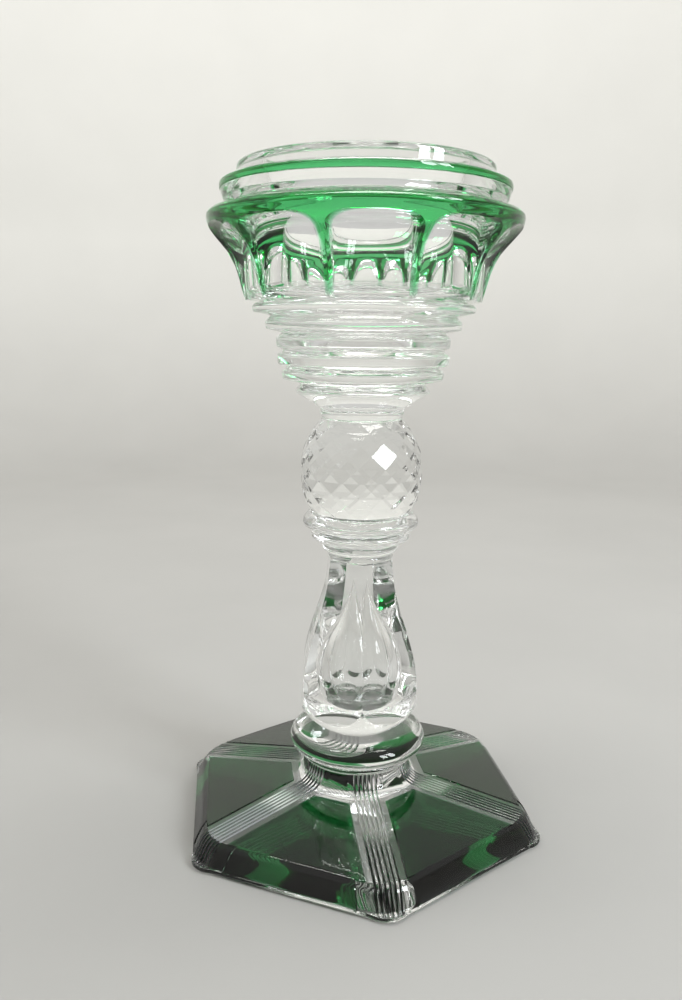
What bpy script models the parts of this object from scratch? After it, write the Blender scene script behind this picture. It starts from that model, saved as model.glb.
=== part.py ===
"""Cut-glass candlestick, clear crystal with a green outer layer.

Every separately worked lump of glass is one closed object, stacked on a
common vertical axis.  Sizes are written in millimetres and scaled to metres
when a mesh is made.  The origin is the middle of the underside of the foot,
+Z is up and one corner of the six-sided foot points along -Y.
"""

import math

import bmesh
import bpy

# ---------------------------------------------------------------- dimensions
MM = 0.001
GAP = 0.3                      # clearance between neighbouring pieces
SKIN = 1.3                     # thickness of the green layer
RECESS = SKIN + GAP            # how far the clear glass lies below the green
FOOT_SIDES = 6
FLUTES = 10
BALUSTER_PANELS = 6
PANEL_FOOT = 46.0              # height below which the panels run out in arcs
KNOP_COLUMNS = 14

# heights of the seams between the pieces on the axis, from the table up
SEAM_NECK_RING = 21.2
SEAM_MERESE = 23.6
SEAM_BALUSTER = 32.4
SEAM_WAFER = 93.2
SEAM_SMALL_COLLAR = 95.2
SEAM_MIDDLE_COLLAR = 98.3
SEAM_WIDE_COLLAR = 103.0
SEAM_KNOP = 109.6
SEAM_KNOP_NECK = 140.6
SEAM_STEPS = 144.2
SEAM_BOWL = 178.6
TOTAL_HEIGHT = 220.0

# turn of each cut pattern about the axis, from the foot corner at -Y, degrees
FLUTE_TURN = -6.0              # middle of one flute
BALUSTER_TURN = -5.0           # one ridge between two panels

# six-sided foot: across-flats half widths of the true outer surface
FOOT_APOTHEM = 58.3
FOOT_BASE_ROWS = [(-0.7, 0.0), (0.0, 0.7), (-0.1, 1.9)]
FOOT_BEVEL_ROWS = [(-0.2, 2.3), (-1.6, 5.1), (-3.1, 7.5), (-4.7, 8.8)]
FOOT_TOP_INNER = (23.5, 13.9)
FOOT_COVE = [(22.8, 13.75), (21.2, 14.2), (19.5, 15.6), (18.35, 17.9),
             (17.9, 21.05)]
BAND_HALF = 6.05               # half width of the clear band cut over a corner
BAND_DROP = 0.3                # how far a band lies below the green
GROOVES = 6
GROOVE_PITCH = 1.5
GROOVE_WIDTH = 0.8
GROOVE_DEPTH = 0.5
CORNER_BULGE = 1.4             # how far a band rounds out over its corner
BASE_CORNER_BULGE = 2.8        # the same at the foot's bottom edge
CORNER_CLEAR = 9.5             # clear margin beside a corner on the bevel
PANEL_CLEAR = 6.6              # the same on the sloping top
POCKET_DRAFT = 0.15            # lean of the pocket walls

# bowl
BORE_RADIUS = 32.0
BORE_FLOOR = 181.5
BORE_FILLET = 2.2
WHEEL_CENTRE = (51.3, 187.7)   # the wheel that cut a flute, (radius, height)
WHEEL_RADIUS = 13.8
# how round a flute is across its width, as (radius of the hollow, height)
FLUTE_HOLLOWS = [(95.0, 177.0), (88.0, 182.0), (66.0, 185.5), (47.0, 188.3),
                 (36.0, 191.0), (30.0, 193.7), (28.5, 195.5), (28.0, 198.0),
                 (28.0, 202.5)]
CASING_FOOT = 181.9            # where the green on the pillars ends


# ------------------------------------------------------------------- curves
def smooth_curve(points, steps):
    """Return a Catmull-Rom curve through the points, with steps per span."""
    padded = [points[0]] + list(points) + [points[-1]]
    curve = []
    for i in range(1, len(padded) - 2):
        p0, p1, p2, p3 = padded[i - 1:i + 3]
        for k in range(steps):
            t = k / steps
            curve.append(tuple(
                0.5 * (2 * b + (c - a) * t
                       + (2 * a - 5 * b + 4 * c - d) * t ** 2
                       + (3 * b - a - 3 * c + d) * t ** 3)
                for a, b, c, d in zip(p0, p1, p2, p3)))
    curve.append(tuple(points[-1]))
    return curve


def arc(centre, radius, start, end, steps):
    """Return the points of an arc; the angles are in degrees."""
    points = []
    for k in range(steps + 1):
        angle = math.radians(start + (end - start) * k / steps)
        points.append((centre[0] + radius * math.cos(angle),
                       centre[1] + radius * math.sin(angle)))
    return points


def value_at(points, height):
    """Return the radius of a (radius, height) line at one height."""
    for (r0, z0), (r1, z1) in zip(points, points[1:]):
        if z0 <= height <= z1:
            return r0 + (r1 - r0) * (height - z0) / (z1 - z0)
    return points[0][0] if height < points[0][1] else points[-1][0]


def normals_of(points):
    """Return the outward unit normal at each point of an upward outline."""
    result = []
    for i in range(len(points)):
        r0, z0 = points[max(i - 1, 0)]
        r1, z1 = points[min(i + 1, len(points) - 1)]
        length = math.hypot(r1 - r0, z1 - z0)
        result.append(((z1 - z0) / length, -(r1 - r0) / length))
    return result


def inset(points, depth):
    """Return the outline moved inwards by depth along its normals."""
    return [(r - depth * nr, z - depth * nz)
            for (r, z), (nr, nz) in zip(points, normals_of(points))]


# ------------------------------------------------------------------- meshes
def glass(name, colour, roughness):
    """Return a see-through glass material."""
    material = bpy.data.materials.new(name)
    material.use_nodes = True
    shader = material.node_tree.nodes["Principled BSDF"]
    shader.inputs["Base Color"].default_value = (*colour, 1.0)
    shader.inputs["Roughness"].default_value = roughness
    shader.inputs["Metallic"].default_value = 0.0
    shader.inputs["IOR"].default_value = 1.54
    shader.inputs["Transmission Weight"].default_value = 1.0
    return material


def clear_glass(name):
    """Return clear, very slightly grey crystal."""
    return glass(name + "_crystal", (0.93, 0.95, 0.94), 0.03)


def bowl_green_glass(name):
    """Return the bright emerald of the thin layer on the bowl."""
    return glass(name + "_emerald", (0.05, 0.50, 0.16), 0.04)


def foot_green_glass(name):
    """Return the dark bottle green of the panels on the foot."""
    return glass(name + "_bottle_green", (0.01, 0.16, 0.05), 0.05)


def finish_mesh(name, mesh, material, smooth_angle):
    """Turn a bmesh into an object with outward faces and its own material."""
    bmesh.ops.recalc_face_normals(mesh, faces=mesh.faces)
    if mesh.calc_volume(signed=True) < 0.0:
        bmesh.ops.reverse_faces(mesh, faces=mesh.faces)
    data = bpy.data.meshes.new(name)
    mesh.to_mesh(data)
    mesh.free()
    thing = bpy.data.objects.new(name, data)
    bpy.context.scene.collection.objects.link(thing)
    data.materials.append(material)
    if smooth_angle:
        data.shade_smooth()
        data.set_sharp_from_angle(angle=math.radians(smooth_angle))
    return thing


def skin(name, loops, material, around=True, along=False, smooth_angle=35):
    """Join equal loops of points, in order, into one closed surface.

    A loop of one point is a pole.  With around the points of a loop close on
    themselves; with along the last loop joins the first; otherwise the first
    and last loops are closed with flat faces.
    """
    mesh = bmesh.new()
    rows = []
    for loop in loops:
        rows.append([mesh.verts.new([MM * c for c in point]) for point in loop])
    pairs = list(zip(rows, rows[1:]))
    if along:
        pairs.append((rows[-1], rows[0]))
    for low, high in pairs:
        count = max(len(low), len(high))
        for i in range(count if around else count - 1):
            j = (i + 1) % count
            if len(low) == 1:
                mesh.faces.new((low[0], high[j], high[i]))
            elif len(high) == 1:
                mesh.faces.new((low[i], low[j], high[0]))
            else:
                mesh.faces.new((low[i], low[j], high[j], high[i]))
    if not along:
        for row in (rows[0], rows[-1]):
            if len(row) > 1:
                mesh.faces.new(row)
    return finish_mesh(name, mesh, material, smooth_angle)


def circle(radius, height, count, start=0.0):
    """Return a circle of points from a start bearing, or one pole."""
    if radius <= 0.0:
        return [(0.0, 0.0, height)]
    bearings = [math.radians(start + 360 * i / count) for i in range(count)]
    return [(radius * math.cos(b), radius * math.sin(b), height)
            for b in bearings]


def turned(name, outline, segments, material, along=False):
    """Spin a (radius, height) outline about the axis."""
    start = FLUTE_TURN - 90 - 180 / FLUTES
    loops = [circle(r, z, segments, start) for r, z in outline]
    return skin(name, loops, material, along=along)


def cut_away(target, cutter):
    """Subtract the cutter from the target and remove the cutter."""
    cutter.display_type = "WIRE"
    cutter.hide_render = True
    modifier = target.modifiers.new("cut", "BOOLEAN")
    modifier.operation = "DIFFERENCE"
    modifier.solver = "EXACT"
    modifier.object = cutter
    depsgraph = bpy.context.evaluated_depsgraph_get()
    result = bpy.data.meshes.new_from_object(target.evaluated_get(depsgraph))
    target.modifiers.clear()
    target.data = result
    bpy.data.objects.remove(cutter)
    tidy = bmesh.new()
    tidy.from_mesh(result)
    bmesh.ops.remove_doubles(tidy, verts=tidy.verts, dist=0.00005)
    bmesh.ops.dissolve_degenerate(tidy, dist=0.00005, edges=tidy.edges)
    tidy.to_mesh(result)
    tidy.free()


# --------------------------------------------------------------------- foot
def foot_profile():
    """Return the rows of the foot as (half width across flats, height)."""
    base = [(FOOT_APOTHEM + da, z) for da, z in FOOT_BASE_ROWS]
    bevel = [(FOOT_APOTHEM + da, z) for da, z in FOOT_BEVEL_ROWS]
    return base, bevel + [FOOT_TOP_INNER]


def turn_about_axis(x, y, degrees):
    """Turn a point in plan about the vertical axis."""
    angle = math.radians(degrees)
    return (x * math.cos(angle) - y * math.sin(angle),
            x * math.sin(angle) + y * math.cos(angle))


def band_columns():
    """Return (sideways offset, groove share) for the columns of one band."""
    columns = [(-BAND_HALF, 0.0)]
    for k in range(GROOVES):
        middle = (k - (GROOVES - 1) / 2) * GROOVE_PITCH
        half = GROOVE_WIDTH / 2
        columns += [(middle - half, 0.0), (middle, 1.0), (middle + half, 0.0)]
    columns.append((BAND_HALF, 0.0))
    return columns


def foot_row(row, groove, pocket=None, margin=None, roundness=0.0,
             bulge=CORNER_BULGE):
    """Return one closed row of points round the foot.

    row is the (half width, height) of the corner bands, groove is the same
    at the bottom of a groove and pocket at the bottom of a panel's recess.
    margin is how far from a corner line the panel starts, and roundness
    0..1 blends the row into a circle.
    """
    pocket = pocket or row
    margin = margin or PANEL_CLEAR
    half_turn = math.tan(math.radians(180 / FOOT_SIDES))
    to_corner = 1 / math.cos(math.radians(180 / FOOT_SIDES))
    points = []
    for corner in range(FOOT_SIDES):
        turn = -90 + 360 / FOOT_SIDES * corner
        band = []
        for offset, share in band_columns():
            half_width, height = groove if share else row
            truncation = BAND_HALF * half_turn
            truncation -= bulge * (1 - (offset / BAND_HALF) ** 2)
            band.append((half_width * to_corner - truncation, offset, height))
        rim = margin - GAP - POCKET_DRAFT
        edge = margin - GAP
        beside = [(row, rim), (pocket, edge)]
        after = [((a * to_corner - side * half_turn), side, z)
                 for (a, z), side in beside]
        before = [(x, -y, z) for x, y, z in reversed(after)]
        mid = pocket[0] * half_turn / to_corner
        middle = (pocket[0] * to_corner - mid * half_turn, mid, pocket[1])
        for x, y, z in before + band + after + [middle]:
            radius = math.hypot(x, y)
            scale = (1 - roundness) + roundness * row[0] / radius
            x, y = turn_about_axis(x * scale, y * scale, turn)
            points.append((x, y, z))
    return points


def foot_body():
    """Clear six-sided foot with grooved bands, panel pockets and a cove."""
    base, cased = foot_profile()
    loops = []
    for row in base:
        loops.append(foot_row(row, row, bulge=BASE_CORNER_BULGE,
                              margin=CORNER_CLEAR))
    last_bevel = len(FOOT_BEVEL_ROWS) - 1
    below, edge = cased[last_bevel - 1], cased[last_bevel]
    near_edge = (edge[0] + (below[0] - edge[0]) * 0.25,
                 edge[1] + (below[1] - edge[1]) * 0.25)
    rows = cased[:last_bevel] + [near_edge] + cased[last_bevel:]
    margins = [CORNER_CLEAR] * (last_bevel + 1) + [PANEL_CLEAR] * 2
    bands = inset(rows, BAND_DROP)
    pockets = inset(rows, RECESS)
    grooves = inset(rows, BAND_DROP + GROOVE_DEPTH)
    pockets[0] = (pockets[0][0], base[-1][1])
    for row, groove, pocket, margin in zip(bands, grooves, pockets, margins):
        loops.append(foot_row(row, groove, pocket, margin))
    grooved = inset(FOOT_COVE, GROOVE_DEPTH)
    grooved[-1] = FOOT_COVE[-1]
    count = len(FOOT_COVE)
    for k in range(count):
        loops.append(foot_row(FOOT_COVE[k], grooved[k],
                              roundness=(k + 1) / count))
    return skin("foot_crystal_body", loops, clear_glass("foot_crystal_body"),
                smooth_angle=0)


def foot_panel(index):
    """One of the six green panels between two corner bands."""
    _, cased = foot_profile()
    name = f"foot_green_panel_{index + 1}"
    turn = -90 + 360 / FOOT_SIDES * (index + 0.5)
    half_turn = math.tan(math.radians(180 / FOOT_SIDES))
    slope = 1 / math.cos(math.radians(180 / FOOT_SIDES))
    bevel_rows = len(FOOT_BEVEL_ROWS)
    margins = [CORNER_CLEAR] * bevel_rows + [PANEL_CLEAR] * 2
    outer = cased[:bevel_rows] + cased[bevel_rows - 1:]
    outer[bevel_rows] = (outer[bevel_rows][0] - 0.5, outer[bevel_rows][1] + 0.08)
    outer[-1] = (outer[-1][0] + 0.5, outer[-1][1] - 0.08)
    inner = inset(outer, SKIN)
    inner[0] = (inner[0][0], outer[0][1])
    loops = []
    for (a, z), (b, y), margin in zip(outer, inner, margins):
        top = a * half_turn - (margin + 0.15) * slope
        low = b * half_turn - margin * slope
        corners = [(a, -top, z), (a, top, z), (b, low, y), (b, -low, y)]
        loops.append([(*turn_about_axis(x, v, turn), w) for x, v, w in corners])
    return skin(name, loops, foot_green_glass(name), smooth_angle=0)


# --------------------------------------------------------------- plain rings
def ring_piece(name, low, high, waist, segments=28):
    """A turned wafer, ring or collar between two seams.

    waist is the (radius, height) outline between the flat faces.
    """
    start = low + GAP / 2
    end = high - GAP / 2
    outline = [(0.0, start), (waist[0][0], start)]
    outline += waist[1:-1]
    outline += [(waist[-1][0], end), (0.0, end)]
    return turned(name, outline, segments, clear_glass(name))


def stem_rings():
    """The rings, collars and wafers along the stem."""
    ring_piece("foot_neck_ring", SEAM_NECK_RING, SEAM_MERESE,
               [(18.6, 0), (20.0, 21.7), (20.4, 22.4), (20.0, 23.1), (18.8, 0)])
    ring_piece("foot_merese_disc", SEAM_MERESE, SEAM_BALUSTER,
               [(19.0, 0), (22.3, 24.6), (24.0, 27.2), (23.4, 29.3),
                (20.9, 31.2), (16.8, 0)])
    ring_piece("stem_top_wafer", SEAM_WAFER, SEAM_SMALL_COLLAR,
               [(10.9, 0), (11.5, 94.2), (11.2, 0)])
    ring_piece("small_collar_ring", SEAM_SMALL_COLLAR, SEAM_MIDDLE_COLLAR,
               [(11.6, 0), (12.7, 96.2), (12.8, 97.2), (12.3, 0)])
    ring_piece("middle_collar_ring", SEAM_MIDDLE_COLLAR, SEAM_WIDE_COLLAR,
               [(12.7, 0), (15.6, 99.2), (16.8, 100.6), (16.7, 101.8), (16.0, 0)])
    ring_piece("wide_collar_ring", SEAM_WIDE_COLLAR, SEAM_KNOP,
               [(16.2, 0), (18.6, 104.0), (19.8, 105.9), (19.5, 107.6), (17.6, 0)])
    ring_piece("knop_neck_wafer", SEAM_KNOP_NECK, SEAM_STEPS,
               [(13.9, 0), (13.6, 142.2), (14.1, 0)])


# ----------------------------------------------------------------- baluster
def baluster():
    """Panel-cut baluster with a tear of air inside.

    The tear is drawn out into a fine tail that reaches the upper joint,
    where the next piece closes it.
    """
    low = SEAM_BALUSTER + GAP / 2
    high = SEAM_WAFER - GAP / 2
    round_body = [(13.2, low), (17.4, 35.4), (20.4, 39.2), (22.0, 43.6),
                  (22.5, 50.0), (21.4, 58.5), (18.8, 67.2), (15.7, 76.0),
                  (13.4, 84.0), (12.3, high)]
    swell = smooth_curve(round_body, 2)
    to_flat = math.cos(math.radians(180 / BALUSTER_PANELS))
    per_panel = 4
    columns = BALUSTER_PANELS * per_panel
    loops = [[(0.0, 0.0, low)]]
    for radius, height in swell:
        ridge = value_at(swell, max(height, PANEL_FOOT)) - 0.15
        flat = ridge * to_flat + 0.12 * max(PANEL_FOOT - height, 0.0)
        loop = []
        for i in range(columns):
            share = (i % per_panel) / per_panel - 0.5
            off_middle = math.radians(360 / BALUSTER_PANELS * share)
            bearing = math.radians(-90 + BALUSTER_TURN + 360 * i / columns)
            r = min(radius, flat / math.cos(off_middle))
            loop.append((r * math.cos(bearing), r * math.sin(bearing), height))
        loops.append(loop)
    tail = 0.35
    tear = [(tail, high), (tail, 84.5), (1.7, 78.6), (4.6, 71.6), (9.4, 63.0),
            (11.9, 54.0), (11.0, 47.2), (8.0, 42.0), (0.0, 39.6)]
    for radius, height in tear:
        loops.append(circle(radius, height, columns, BALUSTER_TURN - 90))
    return skin("panel_cut_baluster", loops, clear_glass("panel_cut_baluster"),
                smooth_angle=20)


# --------------------------------------------------------------------- knop
def knop():
    """Ball cut all over with three-cornered facets in staggered rows."""
    rings = [(16.9, SEAM_KNOP + GAP / 2), (19.3, 113.2), (20.2, 117.4),
             (20.6, 121.8), (20.5, 126.2), (19.8, 130.5), (18.2, 134.4),
             (16.2, 137.5), (13.7, SEAM_KNOP_NECK - GAP / 2)]
    mesh = bmesh.new()
    rows = []
    for k, (radius, height) in enumerate(rings):
        row = []
        for i in range(KNOP_COLUMNS):
            bearing = 2 * math.pi * (i + 0.5 * (k % 2)) / KNOP_COLUMNS
            row.append(mesh.verts.new((MM * radius * math.cos(bearing),
                                       MM * radius * math.sin(bearing),
                                       MM * height)))
        rows.append(row)
    for k, (low, high) in enumerate(zip(rows, rows[1:])):
        for i in range(KNOP_COLUMNS):
            j = (i + 1) % KNOP_COLUMNS
            if k % 2 == 0:
                mesh.faces.new((low[i], low[j], high[i]))
                mesh.faces.new((low[j], high[j], high[i]))
            else:
                mesh.faces.new((low[i], high[j], high[i]))
                mesh.faces.new((low[i], low[j], high[j]))
    mesh.faces.new(rows[0])
    mesh.faces.new(rows[-1])
    name = "diamond_cut_knop"
    return finish_mesh(name, mesh, clear_glass(name), 0)


# --------------------------------------------------------------------- bowl
def stepped_base():
    """Solid base of the bowl, cut with six stepped rings."""
    rings = [(22.3, 149.3, 151.0), (26.8, 153.8, 156.8), (28.4, 158.6, 162.2),
             (28.7, 164.2, 167.6), (32.2, 169.8, 172.8), (36.4, 175.2, 177.6)]
    groove_depth = 1.9
    start = SEAM_STEPS + GAP / 2
    end = SEAM_BOWL - GAP / 2
    outline = [(0.0, start), (14.4, start), (17.2, 146.1)]
    for k, (radius, low, high) in enumerate(rings):
        outline += [(radius - 0.3, low), (radius, high - 0.8), (radius - 0.5, high)]
        if k + 1 < len(rings):
            floor = min(radius, rings[k + 1][0]) - groove_depth
            outline.append((floor, (high + rings[k + 1][1]) / 2))
    outline += [(36.2, end), (0.0, end)]
    name = "stepped_bowl_base"
    return turned(name, outline, 32, clear_glass(name))


def flared_wall():
    """Return the uncut outer line of the fluted wall, from bottom to lip."""
    return smooth_curve([(39.7, 178.75), (39.95, 181.9), (41.4, 187.6),
                         (43.9, 193.7), (47.5, 198.0), (49.7, 201.0),
                         (50.4, 203.4)], 2)


def lip_top():
    """Return the outline over the top of the lip down into the undercut."""
    return [(50.3, 204.6), (49.3, 205.6), (44.0, 207.4)]


def flute_floor():
    """Return the line a cutting wheel leaves along the middle of a flute."""
    line = [(36.1, 177.5), (36.4, 179.7), (36.8, 182.2), (37.2, 185.2),
            (37.5, 188.0)]
    for degrees in range(10, 90, 10):
        tilt = math.radians(degrees)
        line.append((WHEEL_CENTRE[0] - WHEEL_RADIUS * math.cos(tilt),
                     WHEEL_CENTRE[1] + WHEEL_RADIUS * math.sin(tilt)))
    return line + [(60.0, 201.6)]


def flute_cutter():
    """Everything outside the flutes, used to cut the bowl and its green."""
    per_flute = 6
    count = FLUTES * per_flute
    outer = 64.0
    floor = flute_floor()
    start = FLUTE_TURN - 90 - 180 / FLUTES
    loops = [circle(outer, floor[0][1], count, start)]
    for centre, height in floor:
        loop = []
        for i in range(count):
            share = (i % per_flute) / per_flute - 0.5
            off = math.radians(360 / FLUTES * share)
            bearing = math.radians(start + 360 * i / count)
            bend = math.sin(off) ** 2 / value_at(FLUTE_HOLLOWS, height)
            if bend < 1e-9:
                radius = centre
            else:
                root = math.sqrt(math.cos(off) ** 2 - 2 * centre * bend)
                radius = (math.cos(off) - root) / bend
            radius = min(radius, outer - 1)
            loop.append((radius * math.cos(bearing),
                         radius * math.sin(bearing), height))
        loops.append(loop)
    loops.append(circle(outer, floor[-1][1], count, start))
    return skin("flute_cutter", loops, clear_glass("cutter"), along=True,
                smooth_angle=0)


def bowl_body():
    """Clear thick-walled bowl: fluted wall, lip, two turned rings, bore."""
    wall = flared_wall()
    cased = [p for p in wall if p[1] > CASING_FOOT] + lip_top()
    under = inset(cased, RECESS)
    rim_round = 1.0
    outline = [(0.0, wall[0][1]), wall[0]]
    outline.append((value_at(wall, CASING_FOOT - GAP), CASING_FOOT - GAP))
    outline.append((value_at(wall, CASING_FOOT) - RECESS, CASING_FOOT - GAP))
    outline += [p for p in under if p[1] > CASING_FOOT]
    outline += [(42.6, 207.9), (45.1, 209.3), (45.9, 211.9),
                (46.3 - RECESS, 212.0), (46.3 - RECESS, 214.9),
                (40.9, 215.2), (40.9, 219.2)]
    outline += [(40.0, TOTAL_HEIGHT), (BORE_RADIUS + rim_round, TOTAL_HEIGHT)]
    outline += [(BORE_RADIUS, TOTAL_HEIGHT - rim_round)]
    fillet_centre = (BORE_RADIUS - BORE_FILLET, BORE_FLOOR + BORE_FILLET)
    outline += arc(fillet_centre, BORE_FILLET, 0, -90, 3)
    outline.append((0.0, BORE_FLOOR))
    name = "bowl_crystal_body"
    body = turned(name, outline, 6 * FLUTES, clear_glass(name))
    cut_away(body, flute_cutter())
    return body


def bowl_green_lip():
    """Green layer on the lip, running down between the flutes as pillars."""
    cased = [p for p in flared_wall() if p[1] > CASING_FOOT] + lip_top()
    under = inset(cased, SKIN)
    under[-1] = (cased[-1][0] - 0.4, cased[-1][1] - SKIN)
    under[0] = (cased[0][0] - SKIN, cased[0][1])
    name = "bowl_green_lip"
    layer = turned(name, cased + under[::-1], 6 * FLUTES,
                   bowl_green_glass(name), along=True)
    cut_away(layer, flute_cutter())
    return layer


def bowl_green_band():
    """Narrow green band left on the upper edge of the turned ring."""
    outer = 46.3
    outline = [(outer - 0.1, 212.3), (outer, 213.4), (outer - 0.3, 214.4),
               (outer - SKIN, 214.9), (outer - SKIN, 212.3)]
    name = "bowl_green_band"
    return turned(name, outline, 4 * FLUTES, bowl_green_glass(name), along=True)


# --------------------------------------------------------------------- main
def main():
    """Build every piece of the candlestick."""
    for thing in list(bpy.data.objects):
        bpy.data.objects.remove(thing)
    foot_body()
    for index in range(FOOT_SIDES):
        foot_panel(index)
    stem_rings()
    baluster()
    knop()
    stepped_base()
    bowl_body()
    bowl_green_lip()
    bowl_green_band()


main()
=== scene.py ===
"""Visual model of a cut-glass candlestick in clear crystal and green overlay.

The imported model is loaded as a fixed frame.  Each lump of glass is rebuilt as
its own closed, finely divided mesh that stands for its solid in the frame.
Where two lumps are joined hot, the hidden joint faces let light straight
through, so the stem reads as one piece of glass, as the real one does.
Sizes are in millimetres and are scaled to metres when a mesh is made.
"""

from __future__ import annotations

import logging
import math
import random
from collections.abc import Callable, Sequence
from dataclasses import dataclass
from enum import Enum

import bmesh
import bpy
from mathutils import Matrix, Vector


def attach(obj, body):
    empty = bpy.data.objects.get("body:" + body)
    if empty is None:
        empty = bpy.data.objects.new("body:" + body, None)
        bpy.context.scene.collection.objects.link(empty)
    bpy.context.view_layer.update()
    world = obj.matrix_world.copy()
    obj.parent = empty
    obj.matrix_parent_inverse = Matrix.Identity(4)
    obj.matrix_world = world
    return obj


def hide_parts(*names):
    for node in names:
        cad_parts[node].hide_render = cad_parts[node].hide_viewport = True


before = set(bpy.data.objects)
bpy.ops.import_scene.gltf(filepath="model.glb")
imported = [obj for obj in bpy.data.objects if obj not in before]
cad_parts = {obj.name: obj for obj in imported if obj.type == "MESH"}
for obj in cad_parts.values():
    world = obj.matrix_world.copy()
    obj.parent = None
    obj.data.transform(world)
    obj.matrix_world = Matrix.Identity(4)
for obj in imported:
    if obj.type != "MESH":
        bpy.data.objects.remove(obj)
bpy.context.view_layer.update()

LOG = logging.getLogger("candlestick")
MM = 0.001

Point = tuple[float, float, float]
Outline = list[tuple[float, float]]


class Face(Enum):
    """What the faces between two rows of points are."""

    CUT = 0
    JOINT = 1
    GROUND = 2


# ------------------------------------------------------------------- curves
def smooth_curve(points: Outline, steps: int) -> Outline:
    """Draw a Catmull-Rom curve through the points.

    Args:
        points: the points the curve passes through.
        steps: how many short lines each span is drawn with.

    Returns:
        The points along the curve.
    """
    padded = [points[0]] + list(points) + [points[-1]]
    curve: Outline = []
    for i in range(1, len(padded) - 2):
        p0, p1, p2, p3 = padded[i - 1:i + 3]
        for k in range(steps):
            t = k / steps
            curve.append(tuple(
                0.5 * (2 * b + (c - a) * t
                       + (2 * a - 5 * b + 4 * c - d) * t ** 2
                       + (3 * b - a - 3 * c + d) * t ** 3)
                for a, b, c, d in zip(p0, p1, p2, p3)))
    curve.append(tuple(points[-1]))
    return curve


def rounded(points: Outline, radius: float, steps: int = 4) -> Outline:
    """Round the inner corners of an outline.

    Args:
        points: the sharp outline.
        radius: how far from a corner the rounding starts.
        steps: how many short lines each rounded corner is drawn with.

    Returns:
        The outline with its corners rounded and its ends unchanged.
    """
    result: Outline = [points[0]]
    for before, corner, after in zip(points, points[1:], points[2:]):
        reach_in = min(radius, math.dist(before, corner) * 0.45)
        reach_out = min(radius, math.dist(corner, after) * 0.45)
        start = blend_points(corner, before, reach_in / math.dist(before, corner))
        end = blend_points(corner, after, reach_out / math.dist(corner, after))
        for k in range(steps + 1):
            t = k / steps
            first = blend_points(start, corner, t)
            second = blend_points(corner, end, t)
            result.append(blend_points(first, second, t))
    result.append(points[-1])
    return result


def blend_points(a: tuple[float, float], b: tuple[float, float],
                 share: float) -> tuple[float, float]:
    """Return the point a given share of the way from a to b."""
    return (a[0] + (b[0] - a[0]) * share, a[1] + (b[1] - a[1]) * share)


def value_at(points: Outline, height: float) -> float:
    """Return the radius of an upward (radius, height) line at one height."""
    for (r0, z0), (r1, z1) in zip(points, points[1:]):
        if z0 <= height <= z1 and z1 > z0:
            return r0 + (r1 - r0) * (height - z0) / (z1 - z0)
    return points[0][0] if height < points[0][1] else points[-1][0]


def inset(points: Outline, depth: float) -> Outline:
    """Move an upward outline inwards along its normals.

    Args:
        points: (radius, height) points, from the bottom up.
        depth: how far to move them.

    Returns:
        The moved outline.
    """
    result: Outline = []
    for i, (r, z) in enumerate(points):
        r0, z0 = points[max(i - 1, 0)]
        r1, z1 = points[min(i + 1, len(points) - 1)]
        length = math.hypot(r1 - r0, z1 - z0)
        result.append((r - depth * (z1 - z0) / length,
                       z + depth * (r1 - r0) / length))
    return result


def around(radius: float, bearing: float, height: float) -> Point:
    """Return the point at a radius and a bearing in degrees."""
    angle = math.radians(bearing)
    return (radius * math.cos(angle), radius * math.sin(angle), height)


def circle(radius: float, height: float, count: int,
           start: float = 0.0) -> list[Point]:
    """Return a circle of points, or a single pole for a zero radius."""
    if radius <= 0.0:
        return [(0.0, 0.0, height)]
    return [around(radius, start + 360 * i / count, height)
            for i in range(count)]


# ------------------------------------------------------------------- meshes
@dataclass
class Row:
    """One loop of points round the object.

    faces says what the faces between the row before and this one are, either
    for the whole row or one for each column; crease marks a hard edge.
    """

    points: list[Point]
    faces: Face | list[Face] = Face.CUT
    crease: bool = False


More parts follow.
